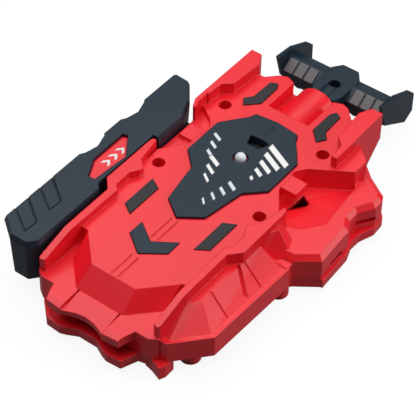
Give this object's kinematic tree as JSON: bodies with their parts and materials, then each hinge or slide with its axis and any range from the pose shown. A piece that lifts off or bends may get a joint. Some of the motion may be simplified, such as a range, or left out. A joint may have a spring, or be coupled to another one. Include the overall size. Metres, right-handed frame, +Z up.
{
  "type": "spinning top launcher",
  "caption": "Hand-held string-pull launcher for a spinning top, with a dark side selector and a T-shaped pull handle docked at the front.",
  "frame": {"origin": "on the launch axis, at the end of the launch spigot on the underside", "axes": "+Z up out of the deck along the launch axis, +Y towards the pull handle, +X towards the side wing"},
  "size_m": [0.0982, 0.1764, 0.0294],
  "materials": {
    "red_shell": "satin injection-moulded ABS",
    "dark_plastic": "satin moulded plastic",
    "dark_plate": "fine-textured moulded plastic",
    "dark_pad": "hex-mesh texture",
    "grip_grey": "ribbed",
    "gear_white": "acetal",
    "white_pin": "polished acetal",
    "black_disc": "matte",
    "steel": "plated",
    "spring_steel": "spring steel",
    "string": "braided cord"
  },
  "bodies": {
    "case": {"upper_shell": "red_shell", "lower_shell": "red_shell", "top_plate": "dark_plate", "chevron_inlay": "dark_plate", "front_pads": "dark_pad", "rear_pads": "dark_pad", "string_eyelet": "steel", "side_rail": "dark_plastic", "case_screws": "steel", "spool_axle": "steel", "idler_axle": "steel", "fork_post": "steel", "recoil_spring": "spring_steel", "pull_string": "string", "pin_spring": "spring_steel"},
    "spool": {"spool_drive_gear": "gear_white", "spool_drum": "dark_plastic", "spool_feed_gear": "gear_white", "string_winding": "string"},
    "forward": {"forward_gear": "gear_white"},
    "reverse": {"reverse_gear": "gear_white"},
    "idler": {"idler_gear": "gear_white"},
    "launcher": {"launch_shaft": "steel", "prong_hub": "dark_plastic", "sensor_disc": "black_disc", "shaft_cap": "steel"},
    "pin": {"center_pin": "white_pin"},
    "collar": {"shift_collar": "gear_white"},
    "fork": {"shift_fork": "dark_plastic"},
    "selector": {"selector_grip": "dark_plastic", "selector_carrier": "dark_plastic", "selector_screws": "steel", "indicator_plate": "red_shell"},
    "handle": {"handle_upper": "dark_plastic", "handle_lower": "dark_plastic", "grip_ribs": "grip_grey", "handle_screw": "steel", "string_knot": "string"}
  },
  "joints": [
    {"name": "handle_pull", "type": "slide", "parent": "case", "child": "handle", "axis": [0, 1, 0], "range_m": [0, 0.45]},
    {"name": "spool_turn", "type": "hinge", "parent": "case", "child": "spool", "pos_m": [-0.0062, 0.01687, 0.0138], "axis": [0, 0, 1], "continuous": true},
    {"name": "launch_turn", "type": "hinge", "parent": "case", "child": "launcher", "pos_m": [0, 0, 0.01], "axis": [0, 0, 1], "continuous": true},
    {"name": "forward_turn", "type": "hinge", "parent": "case", "child": "forward", "pos_m": [0, 0, 0.0084], "axis": [0, 0, 1], "continuous": true},
    {"name": "reverse_turn", "type": "hinge", "parent": "case", "child": "reverse", "pos_m": [0, 0, 0.0188], "axis": [0, 0, 1], "continuous": true},
    {"name": "idler_turn", "type": "hinge", "parent": "case", "child": "idler", "pos_m": [0.00704, 0.01078, 0.0188], "axis": [0, 0, 1], "continuous": true},
    {"name": "pin_push", "type": "slide", "parent": "case", "child": "pin", "axis": [0, 0, 1], "range_m": [0, 0.0025], "stiffness_N_per_m": 60, "deforming": ["pin_spring"]},
    {"name": "selector_slide", "type": "slide", "parent": "case", "child": "selector", "axis": [0, 1, 0], "range_m": [0, 0.004]},
    {"name": "fork_lift", "type": "slide", "parent": "case", "child": "fork", "axis": [0, 0, 1], "range_m": [0, 0.002]},
    {"name": "collar_lift", "type": "slide", "parent": "launcher", "child": "collar", "axis": [0, 0, 1], "range_m": [0, 0.002]}
  ],
  "couplings": [
    {"joint": "spool_turn", "follows": "handle_pull", "rad_per_m": 161.29},
    {"joint": "launch_turn", "follows": "handle_pull", "rad_per_m": -322.58},
    {"joint": "forward_turn", "follows": "handle_pull", "rad_per_m": -322.58},
    {"joint": "idler_turn", "follows": "handle_pull", "rad_per_m": -230.41},
    {"joint": "reverse_turn", "follows": "handle_pull", "rad_per_m": 201.61},
    {"joint": "fork_lift", "follows": "selector_slide", "ratio": 0.5},
    {"joint": "collar_lift", "follows": "selector_slide", "ratio": 0.5}
  ]
}
